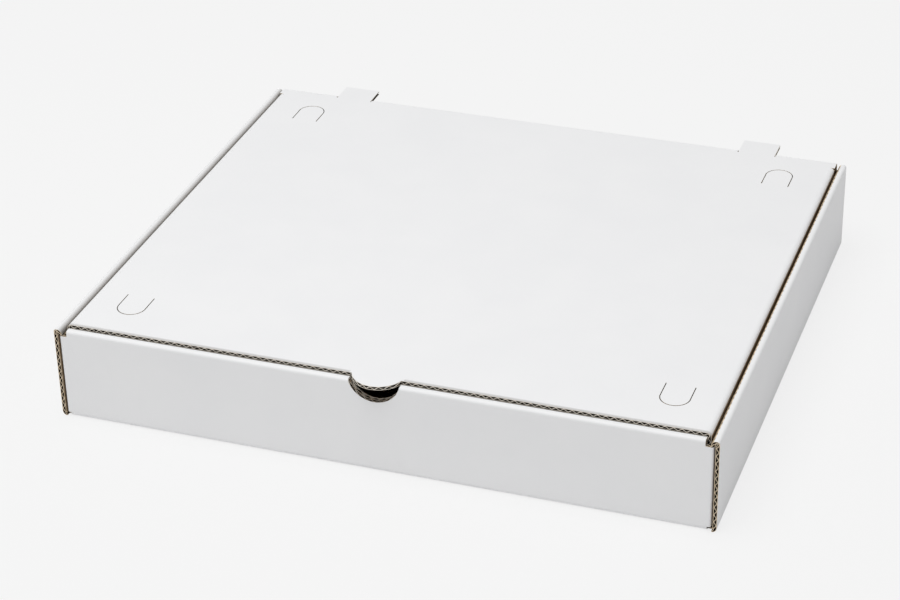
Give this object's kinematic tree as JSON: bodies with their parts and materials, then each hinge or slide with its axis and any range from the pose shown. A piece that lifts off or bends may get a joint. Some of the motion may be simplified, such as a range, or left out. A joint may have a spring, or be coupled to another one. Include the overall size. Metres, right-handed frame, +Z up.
{
  "type": "pizza box",
  "caption": "Low folded box of white-faced fluted board with a hinged lid, rolled walls, a thumb notch, rear tabs and push-down tabs in the lid.",
  "frame": {"origin": "middle of the underside of the tray", "axes": "+X to the right, +Y to the back where the lid is hinged, +Z up"},
  "size_m": [0.275, 0.2469, 0.0418],
  "materials": {
    "tray_board": "white clay-coated liner outside, brown kraft inside and at the cut edges",
    "lid_board": "white clay-coated liner outside, brown kraft inside and at the cut edges"
  },
  "bodies": {
    "tray": {"tray": "tray_board"},
    "lid": {"lid": "lid_board"},
    "support_tab_front_left": {"support_tab_front_left": "lid_board"},
    "support_tab_front_right": {"support_tab_front_right": "lid_board"},
    "support_tab_back_left": {"support_tab_back_left": "lid_board"},
    "support_tab_back_right": {"support_tab_back_right": "lid_board"}
  },
  "joints": [
    {"name": "lid_hinge", "type": "hinge", "parent": "tray", "child": "lid", "pos_m": [0, 0.117, 0.0418], "axis": [-1, 0, 0], "range_deg": [0, 180]},
    {"name": "support_tab_front_left_fold", "type": "hinge", "parent": "lid", "child": "support_tab_front_left", "pos_m": [-0.114, -0.084, 0.0402], "axis": [1, 0, 0], "range_deg": [0, 90]},
    {"name": "support_tab_front_right_fold", "type": "hinge", "parent": "lid", "child": "support_tab_front_right", "pos_m": [0.114, -0.084, 0.0402], "axis": [1, 0, 0], "range_deg": [0, 90]},
    {"name": "support_tab_back_left_fold", "type": "hinge", "parent": "lid", "child": "support_tab_back_left", "pos_m": [-0.1114, 0.0876, 0.0402], "axis": [-1, 0, 0], "range_deg": [0, 90]},
    {"name": "support_tab_back_right_fold", "type": "hinge", "parent": "lid", "child": "support_tab_back_right", "pos_m": [0.1114, 0.0876, 0.0402], "axis": [-1, 0, 0], "range_deg": [0, 90]}
  ]
}
